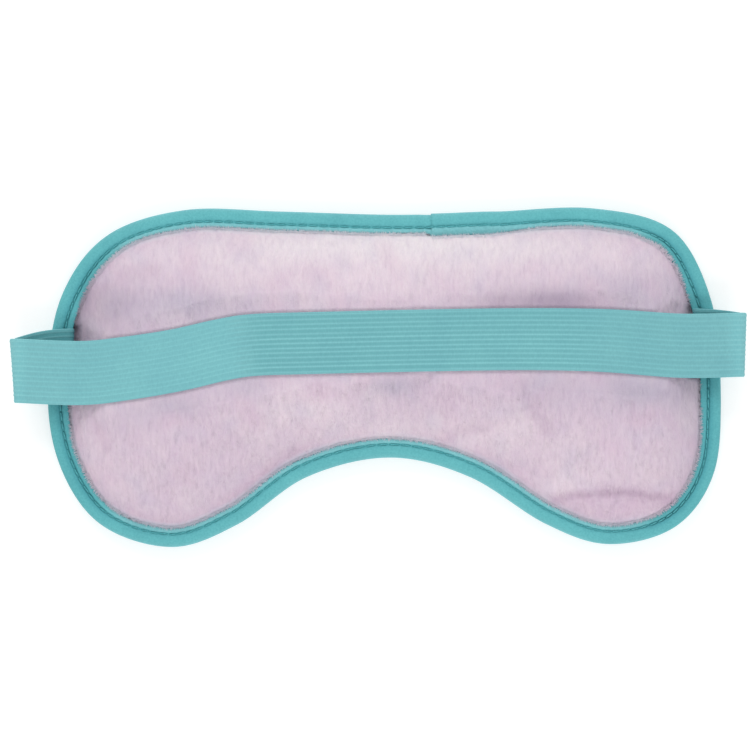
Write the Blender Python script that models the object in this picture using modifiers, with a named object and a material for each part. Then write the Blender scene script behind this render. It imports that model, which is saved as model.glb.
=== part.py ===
"""Eye pillow: a plush pad bound with tape all round, a bead pouch sealed inside it, and an
elastic head strap whose two ends are sewn under the tape.

Metres, +Z up.  The pad lies flat on z = 0 with its plush rear side up, and the strap rests on
it.  +X runs along its length, +Y towards its straight top edge, and the origin is at the bottom,
under the middle.
"""
import math

import bmesh
import bpy
import numpy as np
from mathutils import Vector
from mathutils.geometry import interpolate_bezier

MM = 0.001
GAP = 0.3                    # between pieces that touch; every size below is in millimetres

# Plan of the pad: knots of a smooth closed curve, anticlockwise from the middle of the top edge.
OUTLINE = [
    (6, 51), (-30, 52), (-60, 52.5), (-84, 45), (-98, 28), (-103.2, 4), (-101, -24), (-88, -45.5),
    (-65, -53.5), (-44, -46.5), (-22, -31.5), (4, -25.4), (29, -31.4), (53, -46.2), (73, -52.6),
    (94, -47), (106, -30), (108, -4), (105, 24), (93, 46), (68, 53), (36, 51.9),
]
LOBE_MIDDLE = (2.5, 11.6)    # the whole outline is in sight of this point
EDGE_STATIONS = 120          # round the binding and its threads
SHEET_STATIONS = 60          # round the covers, the films and the filling

# Binding: a folded tape round the edge, whose last stretch laps over its start.
TAPE = 0.7
LIP = 6.7                    # how far each side of the tape reaches in from the edge
CORNER = 0.9
TAPE_BOTTOM = 1.6            # underside of the tape above the table
LAP_STATIONS = 3
LAP_START = (31.5, 52)       # where the tape starts, under its own end
LAP_STEP = TAPE + GAP        # how far the top layer stands off the layer below
LAP_EXTRA_WIDTH = 1.5
THREAD_INSET = 4.2
THREAD_WIDTH = 0.6
THREAD_HEIGHT = 0.3

# Levels of the stack inside the tape, from the bottom up.
FRONT_COVER = 0.5
REAR_COVER = 1.0
FRONT_EDGE = TAPE_BOTTOM + TAPE + GAP
REAR_EDGE = FRONT_EDGE + FRONT_COVER + GAP
REAR_EDGE_TOP = REAR_EDGE + REAR_COVER
LIP_UNDERSIDE = REAR_EDGE_TOP + GAP
TAPE_TOP = LIP_UNDERSIDE + TAPE
COVER_INSET = 1.6            # cut edge of both covers, inside the fold of the tape

# Pad: flat just inside the tape, then a round shoulder up to the crown.
VALLEY = 9.2
SHOULDER = 22
PAD_HEIGHT = 14
ROUNDNESS = 2.2              # exponent of the shoulder's curve: 2 is a quarter ellipse
FRONT_FLAT = 20              # the front cover lies on the table this far in from the edge

# Bead pouch: two films welded round their rim.
FILM = 0.3
POUCH_INSET = 11.5
POUCH_RISE = 13.5
POUCH_SHOULDER = 19
POUCH_HEIGHT = 12.4
FILLING_INSET = 14.2

# Strap: 20 mm elastic with each end sewn under the tape, folded back out round the tape's inner
# edge, turned at a soft bend beyond the pad, and laid across the crown.
STRAP_WIDTH = 20
STRAP = 1.0
STRAP_TUCK = LIP_UNDERSIDE + STRAP / 2
TUCK_LENGTH = 4.5            # hidden under the tape, from the cut end to the fold
STRAP_RISE = STRAP + GAP     # the tape stands this much higher over a strap end
STRAP_OVER = TAPE_TOP + STRAP_RISE + GAP + THREAD_HEIGHT + GAP + STRAP / 2
BEND_RADIUS = 1.9
FOLD_STEPS = 8
BEND_STEPS = 10
STRAP_ON_CROWN = PAD_HEIGHT + GAP + STRAP / 2
CROWN_REACH = 72             # the strap lies flat on the crown between -x and +x of this
ROUTE = [                    # middle line of the strap's upper leg, left to right
    (-92, 1.3), (-78, 3), (-62, 5.6), (-48, 8.5), (-38, 10), (-20, 10.7), (15, 11.5), (46, 12),
    (70, 11.6), (94, 9.8),
]
SPAN_END = 60                # the strap is divided here and at the edge of the pad
EDGE_SPLIT = {-1: 101.5, 1: 105.0}


class StrapEnd:
    """Plan of one end of the strap: where it folds round the tape and where it bends back."""

    def __init__(self, side, fold, fold_tilt, bend, bend_tilt):
        self.side = side              # -1 left, +1 right
        self.fold = fold              # middle line at the fold round the tape's inner edge
        self.fold_tilt = fold_tilt    # the fold's crease leans with that edge
        self.bend = bend              # middle line at the outer bend
        self.bend_tilt = bend_tilt    # direction of the upper leg where it leaves the bend

    def lower_tilt(self):
        (x0, y0), (x1, y1) = self.fold, self.bend
        return math.atan((y1 - y0) / (x1 - x0))

    def lower_y(self, x):
        return self.fold[1] + (x - self.fold[0]) * math.tan(self.lower_tilt())


LEFT = StrapEnd(-1, (-96.5, 4.7), math.radians(-5), (-113.95, 1.6), math.radians(-1))
RIGHT = StrapEnd(1, (100.6, 11.4), math.radians(6), (114.5, 10.4), math.radians(1))


# ---- scene and materials ----

def clear_scene():
    for old in list(bpy.data.objects):
        bpy.data.objects.remove(old)


def new_collection(name):
    collection = bpy.data.collections.new(name)
    bpy.context.scene.collection.children.link(collection)
    return collection


def material(name, colour, roughness, metallic=0.0):
    made = bpy.data.materials.new(name)
    made.use_nodes = True
    shader = made.node_tree.nodes["Principled BSDF"]
    shader.inputs["Base Color"].default_value = (*colour, 1)
    shader.inputs["Roughness"].default_value = roughness
    shader.inputs["Metallic"].default_value = metallic
    return made


def make_materials():
    return {
        "plush": material("lilac_plush", (0.69, 0.58, 0.66), 0.95),
        "satin": material("lilac_satin", (0.60, 0.50, 0.60), 0.45),
        "film": material("clear_film", (0.80, 0.82, 0.85), 0.25),
        "beads": material("gel_beads", (0.55, 0.45, 0.62), 0.30),
        "tape": material("teal_tape", (0.15, 0.48, 0.51), 0.80),
        "thread": material("teal_thread", (0.02, 0.22, 0.26), 0.60),
        "elastic": material("teal_elastic", (0.18, 0.49, 0.52), 0.75),
    }


# ---- plan geometry, in millimetres ----

def smooth_curve(knots, closed, per_span=40):
    """Points of the smooth curve through the knots."""
    points = []
    count = len(knots)
    for i in range(count if closed else count - 1):
        before, start, end, after = [
            Vector(knots[(i + k) % count if closed else min(max(i + k, 0), count - 1)]).to_3d()
            for k in (-1, 0, 1, 2)]
        handle_1 = start + (end - before) / 6
        handle_2 = end - (after - start) / 6
        points += interpolate_bezier(start, handle_1, handle_2, end, per_span + 1)[:-1]
    if not closed:
        points.append(Vector(knots[-1]).to_3d())
    return np.array([(p.x, p.y) for p in points])


def pad_outline():
    curve = smooth_curve(OUTLINE, closed=True)
    curve[:, 1] -= (curve[:, 1].min() + curve[:, 1].max()) / 2
    return curve


def evenly_spaced(curve, count):
    """Points at equal steps along a closed curve, from the one nearest to LAP_START."""
    first = np.argmin(np.linalg.norm(curve - LAP_START, axis=1))
    curve = np.roll(curve, -first, axis=0)
    ring = np.vstack([curve, curve[:1]])
    along = np.concatenate([[0], np.cumsum(np.linalg.norm(np.diff(ring, axis=0), axis=1))])
    wanted = np.arange(count) * along[-1] / count
    return np.column_stack([np.interp(wanted, along, ring[:, k]) for k in (0, 1)])


def inward_normals(ring):
    tangent = np.roll(ring, -1, axis=0) - np.roll(ring, 1, axis=0)
    tangent /= np.linalg.norm(tangent, axis=1)[:, None]
    return np.column_stack([-tangent[:, 1], tangent[:, 0]])


def distance_in(points, curve):
    """How far each point lies in from the outline."""
    gaps = np.linalg.norm(points[:, None] - curve[None], axis=2)
    return gaps.min(axis=1)


def smooth_step(value, start, end):
    t = min(max((value - start) / (end - start), 0.0), 1.0)
    return t * t * (3 - 2 * t)


def rounded_rise(inset, start, reach):
    """0 at start, 1 at start + reach, steep first and level at the end."""
    t = min(max((inset - start) / reach, 0.0), 1.0)
    return (1 - (1 - t) ** ROUNDNESS) ** (1 / ROUNDNESS)


# ---- heights of the stacked sheets over the distance in from the edge ----

def rear_cover_top(inset):
    return REAR_EDGE_TOP + (PAD_HEIGHT - REAR_EDGE_TOP) * rounded_rise(inset, VALLEY, SHOULDER)


def front_cover_bottom(inset):
    slope = (inset - VALLEY) / (FRONT_FLAT - VALLEY)
    return FRONT_EDGE * (1 - min(max(slope, 0), 1))


def front_film_bottom(inset):
    return front_cover_bottom(inset) + FRONT_COVER + GAP


def rear_film_top(inset):
    rim = front_film_bottom(POUCH_INSET) + 2 * FILM + GAP
    return rim + (POUCH_HEIGHT - rim) * rounded_rise(inset, POUCH_RISE, POUCH_SHOULDER)


def filling_bottom(inset):
    return front_film_bottom(inset) + FILM + GAP


def filling_top(inset):
    lowest = filling_bottom(FILLING_INSET) + GAP
    return max(rear_film_top(inset - GAP) - FILM - GAP, lowest)


# ---- mesh helpers ----

def finish_object(mesh_builder, name, collection, surface):
    """Make an object from a bmesh in millimetres."""
    mesh_builder.normal_update()
    bmesh.ops.scale(mesh_builder, vec=(MM, MM, MM), verts=mesh_builder.verts)
    mesh = bpy.data.meshes.new(name)
    mesh_builder.to_mesh(mesh)
    mesh_builder.free()
    mesh.materials.append(surface)
    mesh.shade_smooth()
    mesh.set_sharp_from_angle(angle=math.radians(40))
    made = bpy.data.objects.new(name, mesh)
    collection.objects.link(made)
    return made


def thicken(target, thickness, side):
    """Give an open surface its thickness: side -1 goes below it, +1 above, 0 both ways."""
    solid = target.modifiers.new("thickness", "SOLIDIFY")
    solid.thickness = thickness * MM
    solid.offset = side


def bridge_rows(mesh_builder, row_a, row_b, closed):
    count = len(row_a)
    for i in range(count if closed else count - 1):
        j = (i + 1) % count
        mesh_builder.faces.new((row_a[i], row_a[j], row_b[j], row_b[i]))


def sheet_rings(outline, insets, shrinks):
    """Rings of plan points: true offsets of the outline, then copies shrunk to the middle."""
    ring = evenly_spaced(outline, SHEET_STATIONS)
    normals = inward_normals(ring)
    rings = [ring + normals * inset for inset in insets]
    middle = np.array(LOBE_MIDDLE)
    rings += [middle + (rings[-1] - middle) * shrink for shrink in shrinks]
    return rings


def add_sheet(mesh_builder, outline, rings, height, facing_up=True):
    """A disc of rings closed by a fan at the middle; returns its outer row of vertices."""
    previous = outer = None
    for ring in rings:
        insets = distance_in(ring, outline)
        row = [mesh_builder.verts.new((x, y, height(inset)))
               for (x, y), inset in zip(ring, insets)]
        if previous:
            pair = (previous, row) if facing_up else (row, previous)
            bridge_rows(mesh_builder, *pair, closed=True)
        outer = outer or row
        previous = row
    centre_inset = distance_in(np.array([LOBE_MIDDLE]), outline)[0]
    centre = mesh_builder.verts.new((*LOBE_MIDDLE, height(centre_inset)))
    for i, vertex in enumerate(previous):
        following = previous[(i + 1) % len(previous)]
        face = (vertex, following, centre) if facing_up else (following, vertex, centre)
        mesh_builder.faces.new(face)
    return outer


def sheet_object(name, rings, height, thickness, side, **place):
    mesh_builder = bmesh.new()
    add_sheet(mesh_builder, place["outline"], rings, height)
    made = finish_object(mesh_builder, name, place["collection"], place["surface"])
    thicken(made, thickness, side)
    return made


# ---- pad ----

def make_pad(outline, collection, materials):
    shoulder = [VALLEY + step for step in (0, 0.4, 1.6, 3.8, 7)]
    sheet_object("rear_cover", sheet_rings(outline, [COVER_INSET] + shoulder, (0.9, 0.75, 0.5)),
                 rear_cover_top, REAR_COVER, -1,
                 outline=outline, collection=collection, surface=materials["plush"])
    sheet_object("front_cover",
                 sheet_rings(outline, (COVER_INSET, VALLEY, 14, FRONT_FLAT - 1.5), (0.96, 0.6)),
                 front_cover_bottom, FRONT_COVER, 1,
                 outline=outline, collection=collection, surface=materials["satin"])


def make_pouch(outline, collection, materials):
    sheet_object("pouch_front_film",
                 sheet_rings(outline, (POUCH_INSET, 14, FRONT_FLAT - 1.5), (0.96, 0.6)),
                 front_film_bottom, FILM, 1,
                 outline=outline, collection=collection, surface=materials["film"])
    rise = [POUCH_RISE + step for step in (0, 0.5, 2, 4.5)]
    sheet_object("pouch_rear_film",
                 sheet_rings(outline, [POUCH_INSET] + rise, (0.88, 0.7, 0.4)),
                 rear_film_top, FILM, -1,
                 outline=outline, collection=collection, surface=materials["film"])
    make_filling(outline, collection, materials["beads"])


def make_filling(outline, collection, surface):
    """The beads as one body, between the two films."""
    rings = sheet_rings(outline, [FILLING_INSET + step for step in (0, 1, 3, 5)],
                        (0.88, 0.7, 0.4))
    mesh_builder = bmesh.new()
    top_row = add_sheet(mesh_builder, outline, rings, filling_top)
    flat_rings = [rings[0], rings[3], rings[4], rings[-1]]
    bottom_row = add_sheet(mesh_builder, outline, flat_rings, filling_bottom, facing_up=False)
    bridge_rows(mesh_builder, bottom_row, top_row, closed=True)
    finish_object(mesh_builder, "bead_filling", collection, surface)


# ---- binding and its seam ----

def strap_rise_at(point):
    """How much higher the tape's upper side stands where a strap end lies under it."""
    x, y = point
    end = LEFT if x < 0 else RIGHT
    if abs(x) < 85:
        return 0.0
    away = abs(y - end.lower_y(x))
    return STRAP_RISE * (1 - smooth_step(away, 15, 26))


def edge_stations(outline):
    """Ring points, normals and strap rise, with the lap's stations repeated at the end."""
    ring = evenly_spaced(outline, EDGE_STATIONS)
    normals = inward_normals(ring)
    order = list(range(EDGE_STATIONS)) + list(range(LAP_STATIONS + 1))
    stations = []
    for place, i in enumerate(order):
        on_lap = place >= EDGE_STATIONS
        stations.append((ring[i], normals[i], strap_rise_at(ring[i]), on_lap))
    return stations


def tape_profile(rise, on_lap):
    """The tape's outer face as (inset, z), from its lower lip round the edge to its upper lip."""
    stand_off = LAP_STEP if on_lap else 0
    lip = LIP + (LAP_EXTRA_WIDTH if on_lap else 0)
    low = TAPE_BOTTOM - stand_off
    high = TAPE_TOP + rise + stand_off
    wall = -stand_off
    return [(lip, low), (wall + CORNER, low), (wall, low + CORNER),
            (wall, high - CORNER), (wall + CORNER, high), (lip, high)]


def make_binding(outline, collection, surface):
    mesh_builder = bmesh.new()
    previous = None
    for point, normal, rise, on_lap in edge_stations(outline):
        row = []
        for inset, z in tape_profile(rise, on_lap):
            x, y = point + normal * inset
            row.append(mesh_builder.verts.new((x, y, z)))
        if previous:
            bridge_rows(mesh_builder, row, previous, closed=False)
        previous = row
    tape = finish_object(mesh_builder, "edge_binding", collection, surface)
    thicken(tape, TAPE, -1)


def thread_levels(stations, upper):
    """Middle height of the seam's thread at each station of the ring."""
    levels = []
    for i, (_, _, rise, _) in enumerate(stations):
        near_lap = i <= LAP_STATIONS + 1 or i == len(stations) - 1
        stand_off = LAP_STEP if near_lap else 0
        clear = GAP + THREAD_HEIGHT / 2
        levels.append(TAPE_TOP + rise + stand_off + clear if upper
                      else TAPE_BOTTOM - stand_off - clear)
    return levels


def make_thread(name, outline, upper, collection, surface):
    """One thread of the seam, as a thin band that follows the tape all round."""
    stations = edge_stations(outline)[:EDGE_STATIONS]
    mesh_builder = bmesh.new()
    rows = [[], []]
    for (point, normal, _, _), z in zip(stations, thread_levels(stations, upper)):
        for row, side in zip(rows, (-0.5, 0.5)):
            x, y = point + normal * (THREAD_INSET + side * THREAD_WIDTH)
            row.append(mesh_builder.verts.new((x, y, z)))
    bridge_rows(mesh_builder, rows[0], rows[1], closed=True)
    thread = finish_object(mesh_builder, name, collection, surface)
    thicken(thread, THREAD_HEIGHT, 0)


# ---- strap ----

def station(x, y, z, tilt, direction):
    """One station of the strap; the line across it is longer where it runs askew."""
    return (x, y, z, tilt, STRAP_WIDTH / 2 / math.cos(tilt - direction))


def lower_leg(end):
    """From the hidden end in to the fold, round it, and out over the tape to the bend."""
    radius = (STRAP_OVER - STRAP_TUCK) / 2
    tilt = end.lower_tilt()
    fold_x = end.fold[0]
    path = [station(fold_x + end.side * away, end.fold[1], STRAP_TUCK, end.fold_tilt, tilt)
            for away in (TUCK_LENGTH, TUCK_LENGTH / 2, 0)]
    for step in range(1, FOLD_STEPS):
        angle = math.pi * step / FOLD_STEPS
        x = fold_x - end.side * radius * math.sin(angle)
        z = (STRAP_TUCK + STRAP_OVER) / 2 - radius * math.cos(angle)
        path.append(station(x, end.fold[1], z, end.fold_tilt, tilt))
    bend_start = end.bend[0] - end.side * BEND_RADIUS
    for part in np.linspace(0, 1, 5):
        x = fold_x + (bend_start - fold_x) * part
        askew = end.fold_tilt + (tilt - end.fold_tilt) * part
        path.append(station(x, end.lower_y(x), STRAP_OVER, askew, tilt))
    return path


def outer_bend(end):
    """Half a turn upwards, in which the strap's direction swings to that of its upper leg."""
    path = []
    for step in range(1, BEND_STEPS):
        angle = math.pi * step / BEND_STEPS
        x = end.bend[0] - end.side * BEND_RADIUS * (1 - math.sin(angle))
        z = STRAP_OVER + BEND_RADIUS * (1 - math.cos(angle))
        tilt = end.lower_tilt() + (end.bend_tilt - end.lower_tilt()) * step / BEND_STEPS
        path.append(station(x, end.lower_y(end.bend[0]), z, tilt, tilt))
    return path


def upper_leg_height(x):
    start = LEFT.bend[0] if x < 0 else RIGHT.bend[0]
    low = STRAP_OVER + 2 * BEND_RADIUS
    return low + (STRAP_ON_CROWN - low) * smooth_step(abs(x), abs(start), CROWN_REACH)


def upper_leg():
    knots = [(LEFT.bend[0] + BEND_RADIUS, LEFT.bend[1])] + ROUTE
    knots += [(RIGHT.bend[0] - BEND_RADIUS, RIGHT.bend[1])]
    curve = smooth_curve(knots, closed=False, per_span=3)
    path = []
    for i, (x, y) in enumerate(curve):
        before, after = curve[max(i - 1, 0)], curve[min(i + 1, len(curve) - 1)]
        tilt = math.atan2(after[1] - before[1], after[0] - before[0])
        path.append(station(x, y, upper_leg_height(x), tilt, tilt))
    return path


def strap_path():
    """Stations of the strap's middle line, from its left end to its right end."""
    left = lower_leg(LEFT) + outer_bend(LEFT)
    right = lower_leg(RIGHT) + outer_bend(RIGHT)
    return np.array(left + upper_leg() + right[::-1])


def distance_along(path):
    steps = np.linalg.norm(np.diff(path[:, :3], axis=0), axis=1)
    return np.concatenate([[0], np.cumsum(steps)])


def path_between(path, start, end):
    """The stations of the strap between two distances along it, ends included."""
    along = distance_along(path)
    inner = along[(along > start + GAP) & (along < end - GAP)]
    places = np.concatenate([[start], inner, [end]])
    return np.column_stack([np.interp(places, along, path[:, k]) for k in range(5)])


def make_ribbon(name, stations, collection, surface):
    mesh_builder = bmesh.new()
    rows = [[], []]
    for x, y, z, tilt, half_width in stations:
        across = (-math.sin(tilt) * half_width, math.cos(tilt) * half_width)
        rows[0].append(mesh_builder.verts.new((x - across[0], y - across[1], z)))
        rows[1].append(mesh_builder.verts.new((x + across[0], y + across[1], z)))
    bridge_rows(mesh_builder, rows[0], rows[1], closed=False)
    ribbon = finish_object(mesh_builder, name, collection, surface)
    thicken(ribbon, STRAP, 0)


def strap_splits(path):
    """Distances along the strap where one piece ends and the next begins."""
    along = distance_along(path)
    middle = along[-1] / 2

    def nearest(x, low, high):
        inside = np.where((along >= low) & (along <= high))[0]
        return along[inside[np.argmin(np.abs(path[inside, 0] - x))]]

    left_turn = along[np.argmin(path[:, 0])]
    right_turn = along[np.argmax(path[:, 0])]
    left_fold = along[len(lower_leg(LEFT)) - 5]
    right_fold = along[-1] - distance_along(np.array(lower_leg(RIGHT)))[-5]
    return [0, nearest(-EDGE_SPLIT[-1], left_fold, left_turn),
            nearest(-EDGE_SPLIT[-1], left_turn, middle), nearest(-SPAN_END, left_turn, middle),
            nearest(SPAN_END, middle, right_turn), nearest(EDGE_SPLIT[1], middle, right_turn),
            nearest(EDGE_SPLIT[1], right_turn, right_fold), along[-1]]


def make_strap(collection, surface):
    path = strap_path()
    names = ["strap_end_left", "strap_loop_left", "strap_shoulder_left", "strap_span",
             "strap_shoulder_right", "strap_loop_right", "strap_end_right"]
    splits = strap_splits(path)
    for i, name in enumerate(names):
        start = splits[i] + (GAP / 2 if i > 0 else 0)
        end = splits[i + 1] - (GAP / 2 if i < len(names) - 1 else 0)
        make_ribbon(name, path_between(path, start, end), collection, surface)


def main():
    clear_scene()
    collection = new_collection("eye_pillow")
    materials = make_materials()
    outline = pad_outline()
    make_pad(outline, collection, materials)
    make_pouch(outline, collection, materials)
    make_binding(outline, collection, materials["tape"])
    make_thread("binding_needle_thread", outline, True, collection, materials["thread"])
    make_thread("binding_bobbin_thread", outline, False, collection, materials["thread"])
    make_strap(collection, materials["elastic"])


main()
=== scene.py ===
"""Looks of the eye pillow: plush, tape, stitches, elastic, satin, camera and light."""
import math

import bmesh
import bpy
import numpy as np
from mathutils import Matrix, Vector, noise
from mathutils.bvhtree import BVHTree
from mathutils.geometry import delaunay_2d_cdt, interpolate_bezier
from mathutils.kdtree import KDTree


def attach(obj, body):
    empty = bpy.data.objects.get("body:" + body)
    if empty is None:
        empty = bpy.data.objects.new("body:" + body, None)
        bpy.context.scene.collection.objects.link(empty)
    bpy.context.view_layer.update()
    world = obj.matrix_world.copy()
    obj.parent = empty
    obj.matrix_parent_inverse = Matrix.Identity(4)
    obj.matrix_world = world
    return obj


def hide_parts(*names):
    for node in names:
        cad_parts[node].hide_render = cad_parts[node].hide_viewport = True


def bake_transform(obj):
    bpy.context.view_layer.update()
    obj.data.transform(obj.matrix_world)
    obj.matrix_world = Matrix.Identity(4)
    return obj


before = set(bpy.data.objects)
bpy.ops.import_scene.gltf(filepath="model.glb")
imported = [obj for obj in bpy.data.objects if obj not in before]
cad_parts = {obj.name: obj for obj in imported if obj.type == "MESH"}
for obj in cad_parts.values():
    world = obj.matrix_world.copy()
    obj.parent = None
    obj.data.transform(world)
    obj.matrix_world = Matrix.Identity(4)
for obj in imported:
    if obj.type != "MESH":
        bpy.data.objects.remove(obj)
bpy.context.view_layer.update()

MM = 0.001                   # lengths below are in millimetres

# ---- the design's own sizes, as the CAD parts have them ----
# Knots of the pad's edge in plan, before it is centred on the pad's height.
OUTLINE = [
    (6, 51), (-30, 52), (-60, 52.5), (-84, 45), (-98, 28), (-103.2, 4), (-101, -24), (-88, -45.5),
    (-65, -53.5), (-44, -46.5), (-22, -31.5), (4, -25.4), (29, -31.4), (53, -46.2), (73, -52.6),
    (94, -47), (106, -30), (108, -4), (105, 24), (93, 46), (68, 53), (36, 51.9),
]
PAD_MIDDLE = (2.5, 11.6)
LAP_START = (31.5, 52)       # where on the edge the tape starts
LAP_LENGTH = 14.5            # how far its end runs on over its start
LAP_EXTRA_WIDTH = 1.2        # how much wider its end is
TAPE = 0.34                  # the tape's thickness

# Insets, from the outline inwards.
COVER_INSET = 1.6            # the covers' cut edges, inside the tape
TAPE_TURN = 2.1              # where the tape's rounded edge ends
THREAD_INSET = 4.2           # the seam
LIP = 6.7                    # the tape's inner edge
SWELL_START = 7.0            # where the rear cover starts to swell
VALLEY = 9.2                 # where the front cover starts to bulge
FRONT_FLAT = 20.0            # where the front cover reaches what it rests on
SWELL_REACH = 24.2           # how far the rear cover takes to reach its full height
SWELL_ROUNDNESS = 1.5        # 1 is a straight slope, 2 is a quarter of an ellipse
# Inset and height of what the rear cover keeps clear for the pouch.
POUCH_TOP = [(0, 3.4), (9.2, 3.5), (14, 6.6), (16, 9.0), (20, 11.0), (24, 12.1), (31, 12.7)]
# Inset and height of the front cover's inner face.
FRONT_INNER = [(COVER_INSET, 3.1), (VALLEY, 3.2), (20, 1.2), (31, 0.6)]

# Heights at the bound edge, and of the pad.
TAPE_BOTTOM = 1.6
FRONT_EDGE = 2.6
REAR_EDGE_TOP = 4.4
TAPE_TOP = 5.4
PAD_HEIGHT = 14.0

# The strap. Its heights are those of its middle line.
STRAP_WIDTH = 20.0
STRAP = 1.0                  # its thickness
STRAP_TUCK = 5.2             # height under the tape
STRAP_RISE = 1.3             # how much higher the tape stands over it there
STRAP_OVER = 8.1             # height where it runs back out over the tape
TUCK_LENGTH = 4.5            # length under the tape
BEND_RADIUS = 1.9            # of the soft bend beyond the pad
STRAP_ON_CROWN = 14.8        # height where it lies on the pad
CROWN_REACH = 72.0           # how far to either side it keeps that height
# Its middle line over the pad, in plan.
ROUTE = [
    (-92, 1.3), (-78, 2.7), (-62, 5.3), (-48, 8.5), (-38, 10), (-20, 10.6), (15, 11.4), (46, 11.8),
    (70, 11.4), (94, 9.8),
]
# Folds in the plush: path in plan, width, depth.
CREASES = [
    ([(56, -38.5), (62, -36.9), (76, -35.6), (86, -36.8), (91, -37.8)], 1.7, 1.2),
    ([(88, -37.2), (94, -39.4)], 0.7, 0.6),
    ([(45, -2), (48, -9), (53, -17)], 2.2, 0.5),
    ([(20, -20.5), (27, -17), (34, -15.5)], 2.2, 0.6),
    ([(-44, -37), (-34, -29.5), (-26, -22.5)], 1.5, 0.5),
    ([(79, -8), (80, -22)], 1.0, 0.35),
    ([(38, 22.5), (54, 22), (72, 22.5)], 3.0, 0.7),
    ([(-90, 20), (-84, 30), (-70, 33)], 3.0, 0.6),
    ([(-88, -12), (-84, -22)], 1.8, 0.5),
]
# For each side: where the strap folds back from under the tape and where it bends round beyond
# the pad, each with the tilt of that turn across the strap.
STRAP_ENDS = {
    -1: {"fold": (-96.8, 5.0), "fold_tilt": math.radians(-1.5), "bend": (-113.3, 2.0),
         "bend_tilt": math.radians(-1)},
    1: {"fold": (100.9, 11.4), "fold_tilt": math.radians(1.5), "bend": (114.5, 10.1),
        "bend_tilt": math.radians(1)},
}

# ---- fineness and looks ----
EDGE_STATIONS = 840          # steps along the tape
TAPE_STEPS = 20              # steps across each side of the tape
FOLD_STEPS = 19              # steps round its edge
COVER_STATIONS = 700         # steps round each cover's edge
COVER_GRID = 0.45            # spacing of the plush cover's points
SATIN_GRID = 1.2             # spacing of the satin cover's points
STRAP_STATION = 0.8          # steps along the strap
FLOOR_REACH = 3000.0
FLOOR_HEIGHT = -0.1          # just clear of the pad's lowest faces

RAY_HEIGHT = 60.0            # from where rays are cast down at the covers
CLOTH = {
    "quality": 6, "mass": 0.15, "tension_stiffness": 18, "compression_stiffness": 6,
    "shear_stiffness": 4, "bending_stiffness": 0.6, "vertex_group_mass": "held",
    "shrink_min": -0.035, "use_pressure": True, "uniform_pressure_force": 1.2,
}
CLOTH_SPACING = 2.2
CLOTH_SCALE = 0.01           # metres for a millimetre, so that the cloth is solved ten times as large
CLOTH_FRAMES = 24
CLOTH_LEAST_RISE = -1.0
CLOTH_MOST_RISE = 2.5
CLOTH_SMOOTHING = 3          # rounds of smoothing the rise over neighbouring points
PINNED_INSET = LIP + 0.6     # the cloth's edge

STITCH_PITCH = 3.3
STITCH_RADIUS = 0.25
LAP_STAND_OFF = 0.18         # how far the tape's end stands off its own start
LAP_TUCK = 0.18              # how far that start is pressed in under it
LIP_PULL = 0.65              # how much narrower the tape shows along the two long sides
CORNER_WIDER = 0.4           # how much wider it shows at the two upper corners
CORNER_SEAM = 0.28           # how much further in the seam runs there
PILE = 0.95                  # how far the plush's pile stands off its backing

RIBS = 13
RIB_HEIGHT = 0.15
STRAP_STRETCHED = 0.96       # the elastic's width where it is stretched over the pad
LOWER_LEG_BOW = 0.7          # how far the hidden side of the left loop bows in plan
RIGHT_BOW_SHARE = 0.3        # how much of that bow the right loop has
# Along the strap: x, and how pale its face is painted: painted highlights at the two bends and on the
# left slope that faces the light, painted shade where it runs over the crown.
RIB_PAINTED_LIGHT = [(-114, 0.9), (-108, 0.56), (-60, 0.62), (-46, 0.64), (-37, 0.42), (60, 0.46),
            (108, 0.48), (114, 0.85)]
# Along the strap: x, and how much the ribs' painted highlights and shade stand out in tone.
RIB_CONTRAST = [(-100, 0.4), (-75, 0.28), (-46, 0.32), (-34, 0.68), (60, 0.66), (72, 0.38)]

# The plush's tones, as screen values. The valley's dark pink, the crease tone and the deep and shade
# tones are painted shade; the pale and light tones serve in places as painted highlight, and the cool
# tone as painted shadow beside the strap.
TONES = {
    "base": (215, 198, 212), "pale": (236, 231, 233), "light": (228, 214, 223),
    "rose": (210, 186, 205), "cool": (190, 181, 197), "deep_shade": (166, 154, 172),
    "shade": (150, 139, 156), "valley_shade": (205, 182, 199), "rim": (192, 206, 218),
    "crease": (190, 166, 187), "cream": (228, 216, 222), "mauve": (214, 188, 206),
    "blue": (202, 196, 212), "fringe": (192, 210, 222),
}
# Clouds of the nap: tone, size, seed, contrast, strength.
NAP_CLOUDS = [
    ("cream", 13.0, 11.0, 1.3, 0.35), ("mauve", 9.0, 23.0, 1.4, 0.35),
    ("blue", 7.0, 31.0, 1.4, 0.30),
]
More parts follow.
